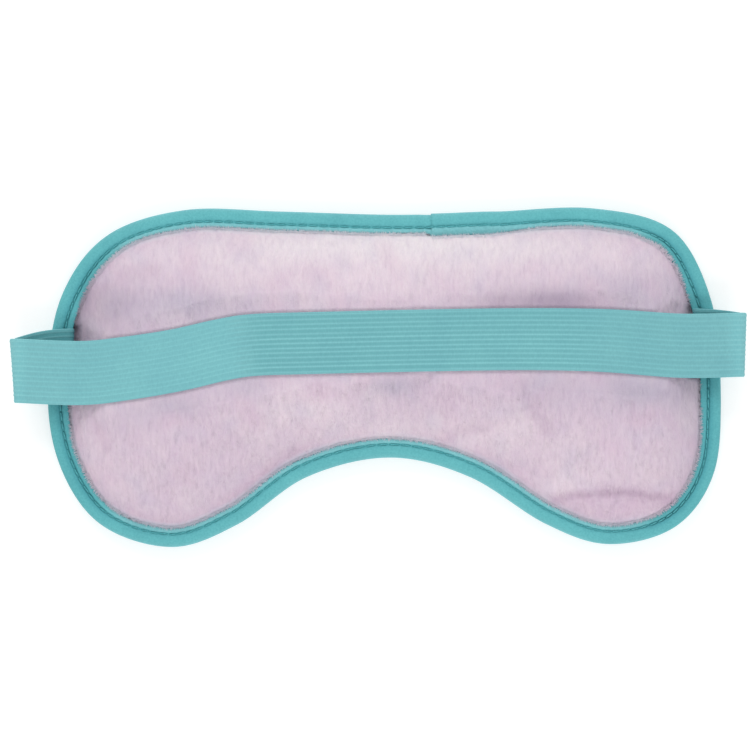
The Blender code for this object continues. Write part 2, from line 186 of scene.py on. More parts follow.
# Patches of the plush's own tone and of painted light and shade: painted highlights where the upper
# pad faces the key light, painted shadows along the strap's edges and in the hollows by its folded
# ends: middle, reach on each axis, tone, strength.
TONE_LIGHT_AND_SHADE_PATCHES = [
    ((5, 41), (60, 9), "pale", 0.9), ((-5, 31), (46, 9), "light", 0.75),
    ((-66, 38), (10, 6), "light", 0.3), ((-83, 22), (9, 8), "deep_shade", 0.6),
    ((-60, 22), (22, 6), "cool", 0.8), ((-93, 20), (7, 11), "shade", 1.0),
    ((54, 23), (22, 4.5), "deep_shade", 0.85), ((82, 26), (15, 8), "cool", 0.7),
    ((74, 38), (16, 6), "light", 0.4), ((99, 2), (8, 32), "cool", 0.6),
    ((83, -4), (16, 6.5), "cool", 0.95), ((98, -9), (5, 6), "deep_shade", 0.3),
    ((-40, -3), (8, 5), "cool", 0.5), ((6, -3), (9, 3.5), "cool", 0.85),
    ((52, -4), (10, 6), "cool", 0.6), ((-62, -9), (10, 4), "cool", 0.6),
    ((2, -17), (16, 4.5), "light", 0.85), ((28, -18), (10, 6), "light", 0.9),
    ((-86, -28), (8, 12), "light", 0.3), ((-22, -10), (16, 8), "light", 0.8),
    ((43, -17), (8, 8), "light", 0.5), ((57, -33), (9, 6), "light", 1.0),
    ((-76, -12), (9, 7), "cool", 0.3),
    ((76, -27), (18, 8), "light", 0.35), ((78, -41), (20, 5), "rose", 0.8),
]


# ---- plan geometry ----

def smooth_curve(knots, closed, per_span):
    """Points of the smooth curve through the knots."""
    points = []
    count = len(knots)
    for i in range(count if closed else count - 1):
        before, start, end, after = [
            Vector(knots[(i + k) % count if closed else min(max(i + k, 0), count - 1)]).to_3d()
            for k in (-1, 0, 1, 2)]
        handle_1 = start + (end - before) / 6
        handle_2 = end - (after - start) / 6
        points += interpolate_bezier(start, handle_1, handle_2, end, per_span + 1)[:-1]
    if not closed:
        points.append(Vector(knots[-1]).to_3d())
    return np.array([(p.x, p.y) for p in points])


def pad_outline():
    """The outline as many points, from the tape's start, centred on the pad's height."""
    curve = smooth_curve(OUTLINE, True, 60)
    curve[:, 1] -= (curve[:, 1].min() + curve[:, 1].max()) / 2
    first = np.argmin(np.linalg.norm(curve - LAP_START, axis=1))
    return np.roll(curve, -first, axis=0)


def lengths_along(points):
    """The length along a line of points up to each of them."""
    steps = np.linalg.norm(np.diff(points, axis=0), axis=1)
    return np.concatenate([[0], np.cumsum(steps)])


def ring_at(distances):
    """Plan points and inward normals of the outline at distances along it from the lap."""
    ring = np.vstack([OUTLINE_CURVE, OUTLINE_CURVE[:1]])
    along = lengths_along(ring)
    wanted = np.mod(distances, along[-1])
    points = np.column_stack([np.interp(wanted, along, ring[:, k]) for k in (0, 1)])
    tangent = np.roll(OUTLINE_CURVE, -1, axis=0) - np.roll(OUTLINE_CURVE, 1, axis=0)
    tangent /= np.linalg.norm(tangent, axis=1)[:, None]
    normals = np.column_stack([-tangent[:, 1], tangent[:, 0]])
    normals = np.vstack([normals, normals[:1]])
    normals = np.column_stack([np.interp(wanted, along, normals[:, k]) for k in (0, 1)])
    return points, normals / np.linalg.norm(normals, axis=1)[:, None]


def plan_tree(points):
    """A tree to look up which plan point is nearest."""
    tree = KDTree(len(points))
    for number, (x, y) in enumerate(points):
        tree.insert((x, y, 0), number)
    tree.balance()
    return tree


def nearest(tree, points):
    """For each plan point, the number of the tree's nearest point and how far away it is."""
    found = [tree.find((x, y, 0)) for x, y in points]
    return np.array([number for _, number, _ in found]), np.array([away for *_, away in found])


OUTLINE_CURVE = pad_outline()
EDGE_LENGTH = lengths_along(np.vstack([OUTLINE_CURVE, OUTLINE_CURVE[:1]]))[-1]
OUTLINE_TREE = plan_tree(OUTLINE_CURVE)


def insets_of(points):
    """How far each plan point lies in from the outline."""
    return nearest(OUTLINE_TREE, points)[1]


def lip_edge_at(points):
    """The inset of the tape's inner edge beside each plan point."""
    return lip_inset(EDGE_LENGTH * nearest(OUTLINE_TREE, points)[0] / len(OUTLINE_CURVE))


def smooth_step(value, start, end):
    """From 0 at start to 1 at end, with soft ends."""
    t = np.clip((value - start) / (end - start), 0, 1)
    return t * t * (3 - 2 * t)


def rounded_rise(inset, start, reach):
    """From 0 to 1 over the reach, steep at first and level at last."""
    t = np.clip((inset - start) / reach, 0, 1)
    return (1 - (1 - t) ** SWELL_ROUNDNESS) ** (1 / SWELL_ROUNDNESS)


def noise_at(points, size, seed=0.0):
    """Smooth noise from -1 to 1 at each point, with features about size millimetres wide."""
    return np.array([noise.noise(Vector((p[0] / size + seed, p[1] / size - seed, seed)))
                     for p in points])


# ---- mesh helpers ----

def grid_faces(rows, columns, closed=False):
    """Quads of a grid of vertices, numbered row by row, each row closed to a ring or not."""
    r, c = np.meshgrid(np.arange(rows - 1), np.arange(columns if closed else columns - 1),
                       indexing="ij")
    this, after = r * columns, (r + 1) * columns
    following = (c + 1) % columns
    quads = np.stack([this + c, this + following, after + following, after + c], axis=-1)
    return quads.reshape(-1, 4)


def mesh_object(name, points, faces, surface, smooth=True):
    """An object from points in millimetres."""
    mesh = bpy.data.meshes.new(name)
    mesh.from_pydata((np.asarray(points) * MM).tolist(), [], [list(f) for f in faces])
    mesh.update()
    if smooth:
        mesh.shade_smooth()
    made = bpy.data.objects.new(name, mesh)
    bpy.context.scene.collection.objects.link(made)
    mesh.materials.append(surface)
    return made


# ---- materials ----

class Nodes:
    """A material's node tree, with short ways to add and link nodes."""

    def __init__(self, name):
        self.material = bpy.data.materials.new(name)
        self.material.use_nodes = True
        self.tree = self.material.node_tree
        self.shader = self.tree.nodes["Principled BSDF"]
        self.coordinates = self.add("ShaderNodeTexCoord").outputs["Object"]

    def add(self, kind, **settings):
        node = self.tree.nodes.new(kind)
        for key, value in settings.items():
            setattr(node, key, value)
        return node

    def link(self, output, target):
        self.tree.links.new(output, target)

    def set(self, **sockets):
        for key, value in sockets.items():
            self.shader.inputs[key.replace("_", " ")].default_value = value

    def attribute(self, name, output="Color"):
        """A value that the piece's points carry."""
        return self.add("ShaderNodeAttribute", attribute_name=name).outputs[output]

    def noise(self, scale, detail=3.0, roughness=0.55, vector=None):
        node = self.add("ShaderNodeTexNoise")
        node.inputs["Scale"].default_value = scale
        node.inputs["Detail"].default_value = detail
        node.inputs["Roughness"].default_value = roughness
        self.link(vector or self.coordinates, node.inputs["Vector"])
        return node.outputs["Fac"]

    def streaks(self, scale, detail, roughness, degrees=0):
        """Noise with that many features per metre along each axis, turned in plan."""
        mapping = self.add("ShaderNodeMapping")
        mapping.inputs["Scale"].default_value = scale
        mapping.inputs["Rotation"].default_value = (0, 0, math.radians(degrees))
        self.link(self.coordinates, mapping.inputs["Vector"])
        return self.noise(1.0, detail, roughness, mapping.outputs["Vector"])

    def ramp(self, factor, stops):
        node = self.add("ShaderNodeValToRGB")
        elements = node.color_ramp.elements
        while len(elements) < len(stops):
            elements.new(0.5)
        for element, (position, colour) in zip(elements, stops):
            element.position = position
            element.color = (*colour, 1)
        self.link(factor, node.inputs["Fac"])
        return node.outputs["Color"]

    def multiply(self, strength, first, second):
        node = self.add("ShaderNodeMix", data_type="RGBA", blend_type="MULTIPLY")
        node.inputs[0].default_value = strength
        self.link(first, node.inputs[6])
        self.link(second, node.inputs[7])
        return node.outputs[2]

    def range(self, value, low, high):
        """A value from 0 to 1, brought between low and high."""
        node = self.add("ShaderNodeMapRange")
        node.inputs["To Min"].default_value = low
        node.inputs["To Max"].default_value = high
        self.link(value, node.inputs["Value"])
        return node.outputs["Result"]

    def bump(self, height, distance, strength=1.0, before=None):
        node = self.add("ShaderNodeBump")
        node.inputs["Distance"].default_value = distance
        node.inputs["Strength"].default_value = strength
        self.link(height, node.inputs["Height"])
        if before:
            self.link(before, node.inputs["Normal"])
        return node.outputs["Normal"]

    def finish(self, colour, grain, roughness, normal):
        """Links the colour, a roughness that follows the grain, and the fine relief."""
        self.link(colour, self.shader.inputs["Base Color"])
        self.link(self.range(grain, *roughness), self.shader.inputs["Roughness"])
        self.link(normal, self.shader.inputs["Normal"])
        return self.material


def srgb(red, green, blue):
    """A linear colour from 0 to 255 screen values."""
    return tuple((v / 255 / 12.92) if v < 10 else ((v / 255 + 0.055) / 1.055) ** 2.4
                 for v in (red, green, blue))


def plush_material():
    """Soft pile: cloudy lilac, with the streaks of a nap brushed along the pad's height."""
    n = Nodes("plush")
    streaks = n.streaks((900, 260, 400), 3.0, 0.6, 5)
    tufts = n.streaks((420, 190, 300), 3.0, 0.6, -8)
    shade = n.ramp(streaks, [(0.30, (0.86, 0.83, 0.87)), (0.50, (0.98, 0.97, 0.98)),
                             (0.72, (1.04, 1.03, 1.03))])
    # The points' colour holds the nap's tone together with painted light and shade.
    colour = n.multiply(0.5, n.attribute("nap_tone_light_and_shade"), shade)
    warm = n.ramp(tufts, [(0.35, (0.95, 0.93, 0.97)), (0.65, (1.03, 1.02, 1.01))])
    n.set(Sheen_Weight=0.12, Sheen_Roughness=0.5, Sheen_Tint=(0.95, 0.86, 0.94, 1),
          Specular_IOR_Level=0.15, Subsurface_Weight=0.5, Subsurface_Scale=0.0012,
          Subsurface_Radius=(1.0, 0.9, 1.0))
    fine = n.streaks((2600, 1100, 1500), 2.0, 0.5)
    relief = n.bump(streaks, 0.0005, 0.5, n.bump(tufts, 0.0008, 0.45))
    return n.finish(n.multiply(0.55, colour, warm), streaks, (0.80, 1.0),
                    n.bump(fine, 0.0002, 0.5, relief))


def pile_material():
    n = Nodes("pile")
    shade = n.ramp(n.noise(900, 2.0), [(0.35, (0.94, 0.93, 0.95)), (0.65, (1.03, 1.03, 1.03))])
    # The points' colour holds the nap's tone together with painted light and shade.
    n.link(n.multiply(1.0, n.attribute("nap_tone_light_and_shade"), shade), n.shader.inputs["Base Color"])
    n.set(Roughness=0.9, Sheen_Weight=0.12, Sheen_Roughness=0.5, Specular_IOR_Level=0.15)
    return n.material


def tape_material():
    n = Nodes("binding_tape")
    # The pale value sets the tape's tone: paler on its rolled outer edge, painted highlight on the
    # lip, painted shade along the seam and over the pad's two short ends.
    lit_and_shaded = n.ramp(n.attribute("pale", "Fac"), [(0.0, srgb(84, 166, 174)), (0.5, srgb(101, 183, 188)),
                                               (1.0, srgb(132, 197, 203))])
    tone = n.ramp(n.noise(90, 5.0, 0.65), [(0.30, (0.88, 0.91, 0.92)), (0.50, (0.98, 0.99, 0.99)),
                                           (0.70, (1.06, 1.04, 1.03))])
    tint = n.multiply(0.9, lit_and_shaded, tone)
    weave = n.streaks((1700, 1700, 1700), 2.0, 0.5)
    grain = n.ramp(weave, [(0.32, (0.84, 0.90, 0.91)), (0.68, (1.08, 1.05, 1.05))])
    n.set(Sheen_Weight=0.05, Sheen_Roughness=0.4, Specular_IOR_Level=0.25)
    return n.finish(n.multiply(0.9, tint, grain), weave, (0.68, 0.88),
                    n.bump(weave, 0.0002, 0.5))


def thread_material():
    n = Nodes("seam_thread")
    twist = n.streaks((2800, 2800, 2800), 1.0, 0.5)
    tint = n.ramp(twist, [(0.35, srgb(54, 146, 153)), (0.65, srgb(84, 174, 180))])
    return n.finish(tint, twist, (0.45, 0.65), n.bump(twist, 0.00008, 0.6))


def elastic_material():
    n = Nodes("elastic")
    # The rib value paints light and shade on the elastic: painted highlights on the ridges, the edges
    # and the bends, painted shade in the grooves and on its hidden face inside the loops.
    rib = n.ramp(n.attribute("rib", "Fac"), [(0.0, srgb(90, 162, 169)), (0.25, srgb(108, 174, 180)),
                                             (0.45, srgb(121, 183, 189)), (0.62, srgb(122, 189, 195)),
                                             (1.0, srgb(137, 202, 206))])
    tone = n.ramp(n.noise(70, 4.0, 0.6), [(0.35, (0.95, 0.96, 0.97)), (0.65, (1.03, 1.02, 1.01))])
    tint = n.multiply(0.8, rib, tone)
    picks = n.streaks((2600, 900, 900), 2.0, 0.6)
    grain = n.ramp(picks, [(0.32, (0.88, 0.91, 0.92)), (0.68, (1.04, 1.03, 1.02))])
    n.set(Sheen_Weight=0.04, Sheen_Roughness=0.4, Specular_IOR_Level=0.25)
    return n.finish(n.multiply(0.8, tint, grain), picks, (0.66, 0.86),
                    n.bump(picks, 0.00012, 0.4))


def satin_material():
    n = Nodes("satin")
    tint = n.ramp(n.noise(30, 3.0), [(0.35, srgb(196, 178, 200)), (0.65, srgb(210, 192, 212))])
    weave = n.streaks((900, 6000, 3000), 2.0, 0.5)
    n.set(Sheen_Weight=0.2, Sheen_Roughness=0.3, Specular_IOR_Level=0.5, Anisotropic=0.5)
    return n.finish(tint, weave, (0.30, 0.48), n.bump(weave, 0.00005, 0.3))


def film_material():
    n = Nodes("pouch_film")
    haze = n.noise(80, 3.0)
    tint = n.ramp(haze, [(0.4, srgb(215, 218, 226)), (0.6, srgb(230, 232, 238))])
    return n.finish(tint, haze, (0.15, 0.35), n.bump(haze, 0.0004, 0.4))


def bead_material():
    n = Nodes("gel_beads")
    cells = n.add("ShaderNodeTexVoronoi")
    cells.inputs["Scale"].default_value = 480
    n.link(n.coordinates, cells.inputs["Vector"])
    bead = cells.outputs["Distance"]
    # Painted shade: each bead is darker towards the gaps between the beads.
    tint = n.ramp(bead, [(0.2, srgb(206, 176, 222)), (0.7, srgb(140, 112, 160))])
    return n.finish(tint, bead, (0.15, 0.45), n.bump(bead, -0.0012, 0.8))


def floor_material():
    n = Nodes("floor")
    grain = n.noise(12, 3.0)
    tint = n.ramp(grain, [(0.4, (0.66, 0.66, 0.66)), (0.6, (0.67, 0.67, 0.67))])
    n.link(tint, n.shader.inputs["Base Color"])
    n.set(Roughness=0.9, Specular_IOR_Level=0.1, Emission_Color=(1, 1, 1, 1),
          Emission_Strength=0.45)
    return n.material


# ---- covers ----

def rear_height(inset):
    """The rear cover's even swell."""
    swell = rounded_rise(inset, SWELL_START, SWELL_REACH)
    return REAR_EDGE_TOP + (PAD_HEIGHT - REAR_EDGE_TOP) * swell


def pouch_top(inset):
    """The height that the rear cover keeps clear for the pouch under it."""
    steps, heights = zip(*POUCH_TOP)
    return np.interp(inset, steps, heights)


def slack_height(plan, inset):
    """The rear cover before the filling blows it up."""
    return rear_height(inset) * 0.93 + 0.25 * noise_at(plan, 9.0, 3.0)


def front_height(inset):
    """The front cover's even bulge, down to what it rests on."""
    return FRONT_EDGE * (1 - np.clip((inset - VALLEY) / (FRONT_FLAT - VALLEY), 0, 1))


def cloth_sheet():
    """The rear cover's middle as a slack sheet, with its plan points, heights and faces."""
    edge, normals = ring_at(np.arange(230) * EDGE_LENGTH / 230)
    rim = edge + normals * PINNED_INSET
    grid = staggered_grid(rim, CLOTH_SPACING, CLOTH_SPACING)
    inside = inside_outline(grid) & (insets_of(grid) > PINNED_INSET + CLOTH_SPACING * 0.6)
    points = np.vstack([rim, grid[inside]])
    loop = [(i, (i + 1) % len(rim)) for i in range(len(rim))]
    verts, _, faces, _, _, _ = delaunay_2d_cdt([Vector(p) for p in points], loop, [], 1, 1e-5)
    plan = np.array([(v.x, v.y) for v in verts])
    insets = insets_of(plan)
    heights = slack_height(plan, insets)
    sheet = mesh_object("simulated_top", np.column_stack([plan, heights]) * CLOTH_SCALE / MM,
                        faces, SURFACES["plush"], smooth=False)
    pins = sheet.vertex_groups.new(name="held")
    pins.add([i for i, inset in enumerate(insets) if inset < PINNED_INSET + 0.2], 1.0, "REPLACE")
    return sheet, plan, heights, faces


def blow_up(sheet):
    """Where the sheet's points lie after the cloth is blown up from below, in millimetres."""
    cloth = sheet.modifiers.new("cloth", "CLOTH")
    settings = cloth.settings
    for name, value in CLOTH.items():
        setattr(settings, name, value)
    settings.effector_weights.gravity = 0
    cloth.collision_settings.use_collision = False
    cloth.point_cache.frame_start = 1
    cloth.point_cache.frame_end = CLOTH_FRAMES
    for step in range(1, CLOTH_FRAMES + 1):
        bpy.context.scene.frame_set(step)
    graph = bpy.context.evaluated_depsgraph_get()
    solved = sheet.evaluated_get(graph).to_mesh()
    moved = np.array([v.co for v in solved.vertices]) / CLOTH_SCALE
    sheet.evaluated_get(graph).to_mesh_clear()
    return moved


def simulated_top():
    """The rear cover as cloth, blown up from below and held along the tape's inner edge.

    Returns how far each place rises above slack_height, as a tree that rays can be cast at."""
    sheet, plan, heights, faces = cloth_sheet()
    moved = blow_up(sheet)
    rise = np.clip(moved[:, 2] - heights, CLOTH_LEAST_RISE, CLOTH_MOST_RISE)
    rise = np.minimum(rise, PAD_HEIGHT + 1.2 - heights)
    edges = np.array([edge.vertices for edge in sheet.data.edges])
    ends = np.concatenate([edges, edges[:, ::-1]])
    neighbours = np.bincount(ends[:, 0], minlength=len(rise))
    for _ in range(CLOTH_SMOOTHING):
        beside = np.bincount(ends[:, 0], rise[ends[:, 1]], len(rise)) / neighbours
        rise = (rise + beside) / 2
    bpy.data.objects.remove(sheet)
    bpy.context.scene.frame_set(1)
    return BVHTree.FromPolygons([Vector(p) for p in np.column_stack([plan, rise])], faces)


def staggered_grid(rim, across, down):
    """Plan points over the rim's box, every other row shifted by half a step."""
    low, high = rim.min(0), rim.max(0)
    return np.array([(x + (across / 2 if row % 2 else 0), y)
                     for row, y in enumerate(np.arange(low[1], high[1], down))
                     for x in np.arange(low[0], high[0], across)])


def inside_outline(points):
    """True for each plan point that lies inside the outline."""
    curve = OUTLINE_CURVE[::6]
    following = np.roll(curve, -1, axis=0)
    inside = np.zeros(len(points), bool)
    for (x0, y0), (x1, y1) in zip(curve, following):
        crosses = (points[:, 1] < y0) != (points[:, 1] < y1)
        if y0 != y1:
            x = x0 + (points[:, 1] - y0) / (y1 - y0) * (x1 - x0)
            inside ^= crosses & (points[:, 0] < x)
    return inside


def strap_line(x):
    """The y of the strap's middle line over the pad."""
    return np.interp(x, UPPER_LEG[:, 0], UPPER_LEG[:, 1])


def room_under_strap(points):
    """The height that the plush may reach, which the strap limits where it lies on the pad."""
    x, y = points[:, 0], points[:, 1]
    away = np.abs(y - strap_line(x)) - STRAP_WIDTH / 2
    under = np.array([upper_leg_height(each) for each in x]) - STRAP / 2 - 0.12
    bulge_beside = 1.6 * smooth_step(away, -1.0, 9.0)
    free_beyond = 20 * smooth_step(away, 5.0, 22.0)
    return under + bulge_beside + free_beyond


def pressed_by_fold(points):
    """How fully the strap's folded ends press the plush down at each point, from 0 to 1."""
    pressed = np.zeros(len(points))
    for side, end in STRAP_ENDS.items():
        fold_x, fold_y = end["fold"]
        past = smooth_step(points[:, 0] * side, abs(fold_x) - 5.0, abs(fold_x) - 2.0)
        away = np.abs(points[:, 1] - fold_y)
        pressed += past * (1 - smooth_step(away, STRAP_WIDTH / 2, STRAP_WIDTH / 2 + 2.0))
    return pressed


def creases(points):
    """The folds that the filled pouch leaves in the plush: dips below its even swell."""
    depth = np.zeros(len(points))
    for path, width, dip in CREASES:
        away = nearest(plan_tree(smooth_curve(path, False, 12)), points)[1]
        depth += dip * np.exp(-(away / width) ** 2)
    return depth


def blended(colour, tone, share):
    """Colours brought towards a screen tone, each by its own share."""
    return colour + (np.array(srgb(*tone)) - colour) * share[:, None]


def nap_tone_light_and_shade(points):
    """The plush's colour at each plan point: its own tone and clouds, with painted shade in the valley
    beside the tape and in the creases, and patches of painted highlight and painted shadow.
    """
    colour = np.tile(srgb(*TONES["base"]), (len(points), 1))
    inset = insets_of(points)
    # Painted shade: a darker pink band in the valley just inside the tape.
    colour = blended(colour, TONES["valley_shade"], 0.55 * (1 - smooth_step(inset, LIP + 1, LIP + 5)))
    colour = blended(colour, TONES["rim"], 0.5 * (1 - smooth_step(inset, LIP + 0.1, LIP + 1.5)))
    # Patches of tone, of painted highlight and of painted shadow.
    for (x, y), (reach_x, reach_y), tone, strength in TONE_LIGHT_AND_SHADE_PATCHES:
        near = np.exp(-((points[:, 0] - x) / reach_x) ** 2 - ((points[:, 1] - y) / reach_y) ** 2)
        colour = blended(colour, TONES[tone], strength * near)
    # Painted shade: the plush is darker in its creases.
    colour = blended(colour, TONES["crease"], 0.5 * np.clip(creases(points), 0, 1))
    for tone, size, seed, contrast, share in NAP_CLOUDS:
        clouds = np.clip(noise_at(points, size, seed) * contrast, 0, 1)
        colour = blended(colour, TONES[tone], clouds * share)
    return colour


def carry_colour(made, colours):
    """Stores a colour on each point of the piece, for its material to read."""
    layer = made.data.attributes.new("nap_tone_light_and_shade", "FLOAT_COLOR", "POINT")
    layer.data.foreach_set("color", np.column_stack([colours, np.ones(len(colours))]).ravel())


def cover_rings():
    """The outline's points and inward normals at each step round a cover's edge."""
    return ring_at(np.arange(COVER_STATIONS) * EDGE_LENGTH / COVER_STATIONS)


def cover_plan(insets, spacing):
    """Plan points and faces of a cover: rings inside the edge, and an even grid within them."""
    edge, normals = cover_rings()
    rings = np.array([edge + normals * inset for inset in insets])
    rows, columns = rings.shape[:2]
    points = rings.reshape(-1, 2)
    faces = grid_faces(rows, columns, closed=True).tolist()
    inner = rings[-1]
    grid = staggered_grid(inner, spacing, spacing * 1.15)
    grid = grid[inside_outline(grid)]
    grid = grid[insets_of(grid) > insets[-1] + spacing * 0.6]
    loop = [(i, (i + 1) % columns) for i in range(columns)]
    _, _, fill, origins, _, _ = delaunay_2d_cdt(
        [Vector(p) for p in np.vstack([inner, grid])], loop, [], 1, 1e-6)
    before = (rows - 1) * columns
    faces += [[before + origins[i][0] for i in face] for face in fill]
    return np.vstack([points, grid]), faces


def close_underneath(made, rings):
    """Closes an open cover with an inner face through rings at those insets and heights."""
    work = bmesh.new()
    work.from_mesh(made.data)
    work.verts.ensure_lookup_table()
    previous = [work.verts[i] for i in range(COVER_STATIONS)]
    edge, normals = cover_rings()
    for inset, height in rings:
        plan = edge + normals * inset
        ring = [work.verts.new((x * MM, y * MM, height * MM)) for x, y in plan]
        for i in range(COVER_STATIONS):
            j = (i + 1) % COVER_STATIONS
            work.faces.new((previous[i], previous[j], ring[j], ring[i]))
        previous = ring
    centre = work.verts.new((PAD_MIDDLE[0] * MM, PAD_MIDDLE[1] * MM, rings[-1][1] * MM))
    for i in range(COVER_STATIONS):
        work.faces.new((previous[i], previous[(i + 1) % COVER_STATIONS], centre))
    bmesh.ops.recalc_face_normals(work, faces=work.faces)
    for face in work.faces:
        face.smooth = True
    work.to_mesh(made.data)
    work.free()


def blown_up_heights(plan, inset, heights):
    """The rear cover's heights, brought to the simulated cloth inside the tape's inner edge."""
    tree = simulated_top()
    share = smooth_step(inset, LIP + 0.7, VALLEY + 2)
    slack = slack_height(plan, inset)
    heights = heights.copy()
    for i in np.flatnonzero(share > 0):
        hit = tree.ray_cast(Vector((*plan[i], RAY_HEIGHT)), Vector((0, 0, -1)))[0]
        if hit:
            heights[i] += share[i] * (slack[i] + hit.z - heights[i])
    return heights


def kept_under(heights, room, softness=0.4):
    """Heights held under the room above them, which they near softly."""
    over = heights - room
    near = room - softness * np.exp(-np.clip(over + softness, 0, 9) / softness)
    return np.where(over > -softness, near, heights)


def make_rear_cover():
    insets = np.concatenate([np.linspace(COVER_INSET, LIP - 0.7, 4), np.arange(LIP - 0.35, 15.0, 0.4)])
    plan, faces = cover_plan(insets, COVER_GRID)
    inset = insets_of(plan)
    heights = rear_height(inset)
    heights = blown_up_heights(plan, inset, heights)
    free = smooth_step(inset, LIP + 0.5, VALLEY + 6)
    swell = 0.70 * noise_at(plan, 19.0, 5.0) + 0.35 * noise_at(plan, 9.0, 9.0)
    heights += free * (swell - creases(plan))
    heights = np.maximum(heights, pouch_top(inset) + 0.5)
    beyond_lip = smooth_step(inset - lip_edge_at(plan), -0.45, 0.35)
    heights += PILE * beyond_lip * (1 - 0.65 * smooth_step(inset, 14, 24))
    nap = 0.26 * noise_at(plan * (1.0, 0.34), 1.1, 1.0) + 0.20 * noise_at(plan * (1.0, 0.5), 2.6, 6.0)
    heights += smooth_step(inset, LIP, LIP + 1.2) * nap
    heights = kept_under(heights, room_under_strap(plan))
    low = np.minimum(heights, STRAP_TUCK - STRAP / 2 - 0.15)
    heights += pressed_by_fold(plan) * (low - heights)
    cover = mesh_object("plush_cover", np.column_stack([plan, heights]), faces, SURFACES["plush"])
    carry_colour(cover, nap_tone_light_and_shade(plan))
    close_underneath(cover, [(COVER_INSET, POUCH_TOP[0][1]), *POUCH_TOP[1:]])
    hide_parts("rear_cover")
    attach(cover, "pad")


def make_front_cover():
    insets = np.concatenate([np.linspace(COVER_INSET, LIP, 4), np.arange(LIP + 0.3, 15.0, 0.6)])
    plan, faces = cover_plan(insets, SATIN_GRID)
    inset = insets_of(plan)
    pleats = np.abs(noise_at(plan, 11.0, 2.0)) * 0.9 + 0.35 * noise_at(plan, 5.0, 7.0)
    near = smooth_step(inset, LIP, VALLEY + 2) * (1 - smooth_step(inset, 22, 34))
    heights = np.maximum(front_height(inset) + near * pleats * 0.8, 0.0)
    cover = mesh_object("satin_cover", np.column_stack([plan, heights]), faces, SURFACES["satin"])
    close_underneath(cover, FRONT_INNER)
    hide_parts("front_cover")
    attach(cover, "pad")


# ---- pile ----

# A hair's three-sided root (points 0 to 2), bend (3 to 5) and tip (6).
HAIR_FACES = [
    (0, 1, 2), (0, 3, 4, 1), (3, 6, 4), (1, 4, 5, 2), (4, 6, 5), (2, 5, 3, 0), (5, 6, 3),
]


def edge_hairs(draw, count):
    """Hairs that lean out over the tape's inner edge: plan points, leans, lengths, lifts, tones."""
    along = draw.uniform(0, EDGE_LENGTH, count)
    edge, normals = ring_at(along)
    roots = edge + normals * (lip_inset(along) + draw.uniform(0.05, 0.9, count))[:, None]
    lean = -normals + draw.normal(0, 0.55, (count, 2))
    side = np.abs(edge[:, 0])
    length = draw.uniform(0.6, 1.3, count) + 0.5 * smooth_step(side, 80, 96)
    lift = draw.uniform(0.35, 0.75, count)
    tones = blended(nap_tone_light_and_shade(roots), TONES["fringe"], 0.5 - 0.4 * smooth_step(side, 78, 96))
    return roots, lean, length, lift, tones


def pad_hairs(draw, count):
    """Hairs that lie with the nap, clear of the strap: the same things as edge_hairs gives."""
    low, high = OUTLINE_CURVE.min(0), OUTLINE_CURVE.max(0)
    roots = draw.uniform(low, high, (count * 2, 2))
    roots = roots[inside_outline(roots)]
    roots = roots[insets_of(roots) > LIP + 1.0]
    above_strap = roots[:, 1] - strap_line(roots[:, 0])
    roots = roots[(above_strap > STRAP_WIDTH / 2 + 2.6) | (above_strap < -STRAP_WIDTH / 2 - 0.5)]
    count = len(roots)
    lean = np.array((0.1, -1.0)) + draw.normal(0, 0.32, (count, 2))
    length = draw.uniform(1.2, 2.6, count)
    lift = draw.uniform(0.08, 0.24, count)
    return roots, lean, length, lift, nap_tone_light_and_shade(roots)


def make_tufts(name, seed, count, hairs):
    """Loose ends of pile: slim pointed hairs, each with three sides."""
    draw = np.random.default_rng(seed)
    cover = bpy.data.objects["plush_cover"]
    tree = BVHTree.FromPolygons([v.co / MM for v in cover.data.vertices],
                                [p.vertices for p in cover.data.polygons])
    roots, lean, length, lift, tones = hairs(draw, count)
    count = len(roots)
    lean /= np.linalg.norm(lean, axis=1)[:, None]
    width = draw.uniform(0.05, 0.09, count)
    tones *= draw.uniform(1.0, 1.12, count)[:, None]
    points, faces, colours, normals_above = [], [], [], []
    for i in range(count):
        hit, above, _, _ = tree.ray_cast(Vector((*roots[i], RAY_HEIGHT)), Vector((0, 0, -1)))
        if not hit:
            continue
        (x, y), forward = lean[i], np.array((*lean[i], 0.0)) * length[i]
        ring = np.array(((-y, x, 0.0), (y, -x, 0.0), (0.0, 0.0, 0.4))) * width[i]
        base = np.array(hit) - (0, 0, 0.12)
        bend = base + forward * 0.45 + (0, 0, lift[i] * 0.8)
        faces += [[len(points) + k for k in face] for face in HAIR_FACES]
        points += [*(base + ring), *(bend + 0.7 * ring), base + forward + (0, 0, lift[i])]
        colours += [tones[i]] * 7
        normals_above += [(above + Vector((0, 0, 1))).normalized()] * 7
    tufts = mesh_object(name, points, faces, SURFACES["pile"])
    tufts.data.normals_split_custom_set_from_vertices(normals_above)
    carry_colour(tufts, np.array(colours))
    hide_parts("rear_cover")
    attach(tufts, "pad")


# ---- binding ----

def strap_rise_at(points):
    """How much higher the tape's upper side stands where a strap end lies under it."""
    rise = np.zeros(len(points))
    for side, end in STRAP_ENDS.items():
        away = np.abs(points[:, 1] - end["fold"][1] + 0.5)
        here = (points[:, 0] * side > 85)
        rise += here * STRAP_RISE * (1 - smooth_step(away, 15, 26))
    return rise


def tape_lap(along):
    """The lap at distances along the edge: stand-off of the end, tuck of the start, extra width."""
    stand_off = LAP_STAND_OFF * smooth_step(along, EDGE_LENGTH - 10, EDGE_LENGTH - 1)
    tuck = LAP_TUCK * (1 - smooth_step(along, LAP_LENGTH + 0.2, LAP_LENGTH + 5.0))
    wider = LAP_EXTRA_WIDTH * smooth_step(along, EDGE_LENGTH - 18, EDGE_LENGTH - 1)
    return stand_off, tuck, wider


